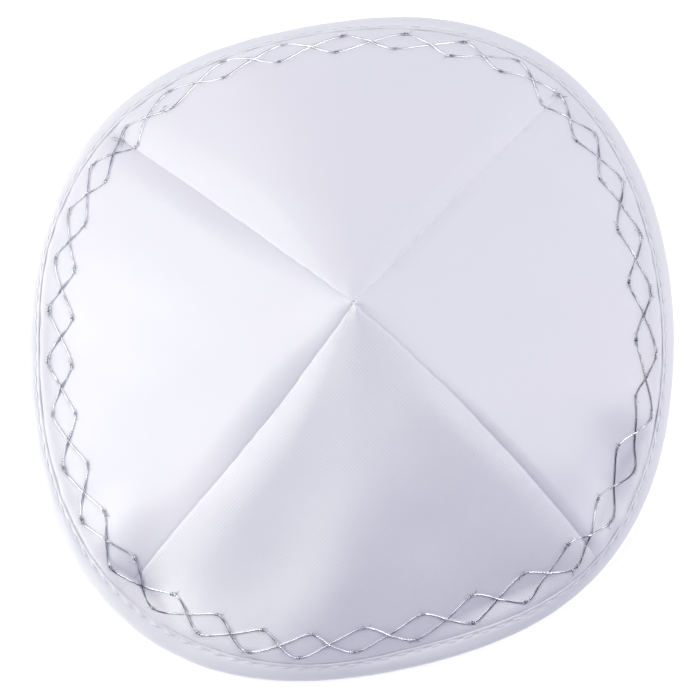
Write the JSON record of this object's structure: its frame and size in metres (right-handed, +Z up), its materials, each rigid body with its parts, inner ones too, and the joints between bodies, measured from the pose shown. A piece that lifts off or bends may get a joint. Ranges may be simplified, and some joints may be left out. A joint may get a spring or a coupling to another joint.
{
  "type": "kippah skullcap",
  "caption": "Shallow skullcap of triangular satin panels with grooved seams and a folded band round the rim; it is hollow underneath and rests on its rim.",
  "frame": {"origin": "on the surface that the rim rests on, under the middle of the cap", "axes": "+Z up through the crown; +Y towards the rear panel, at the top of the picture; +X towards the right panel"},
  "size_m": [0.1806, 0.1913, 0.0458],
  "materials": {
    "satin": "white satin with a soft sheen and a fine diagonal weave",
    "binding_satin": "white satin tape, folded over the edge and stitched",
    "silver_thread": "bright silver metallic embroidery thread",
    "sewing_thread": "white polyester sewing thread"
  },
  "bodies": {
    "root": {"panel_rear": "satin", "panel_left": "satin", "panel_front": "satin", "panel_right": "satin", "rim_binding": "binding_satin"}
  },
  "joints": []
}
